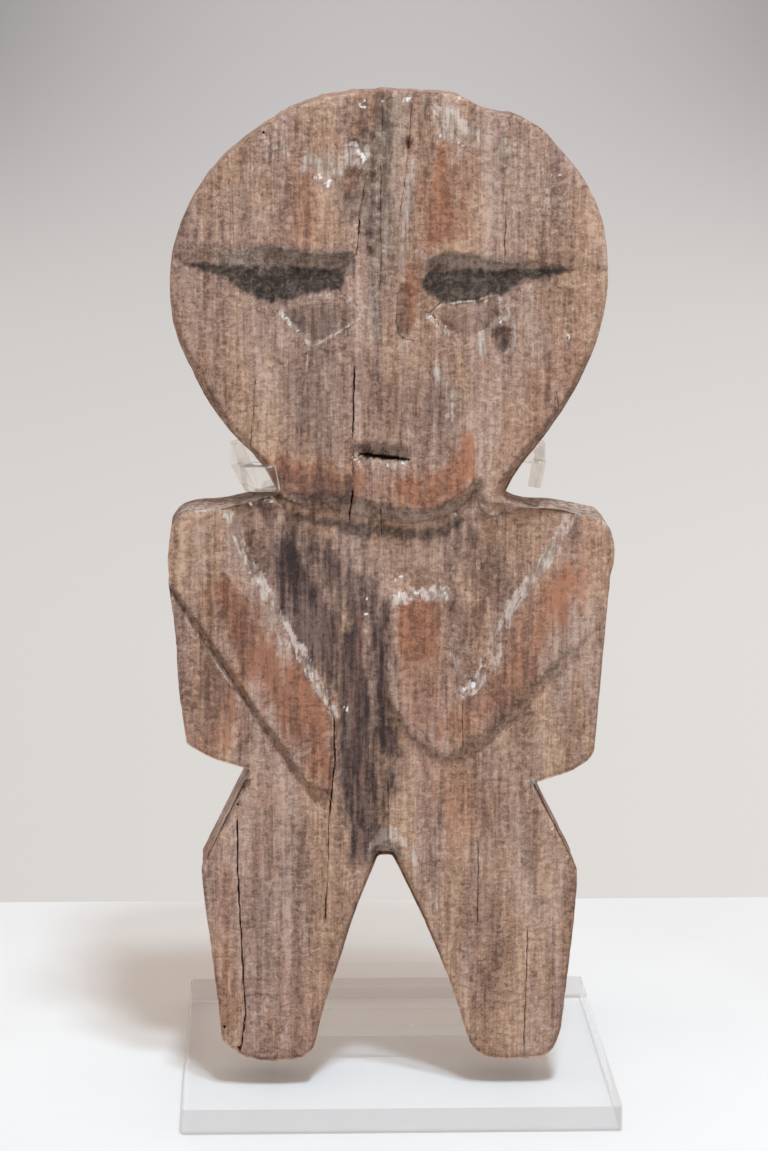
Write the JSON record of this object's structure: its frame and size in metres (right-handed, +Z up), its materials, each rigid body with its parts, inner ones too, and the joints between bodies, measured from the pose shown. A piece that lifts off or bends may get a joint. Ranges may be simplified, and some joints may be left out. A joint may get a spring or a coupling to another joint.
{
  "type": "wooden figure",
  "caption": "Flat carved wooden figure with a round disc face and raised arms, held upright on a clear acrylic stand.",
  "frame": {"origin": "under the middle of the whole, on the ground", "axes": "+Z up, the figure faces -Y, +X to the viewer's right"},
  "size_m": [0.1572, 0.1524, 0.356],
  "materials": {
    "weathered_wood": "old, dry and weathered hardwood with upright grain",
    "clear_acrylic": "clear and polished"
  },
  "bodies": {
    "root": {"figure": "weathered_wood", "stand_base": "clear_acrylic", "stand_upright": "clear_acrylic"}
  },
  "joints": []
}
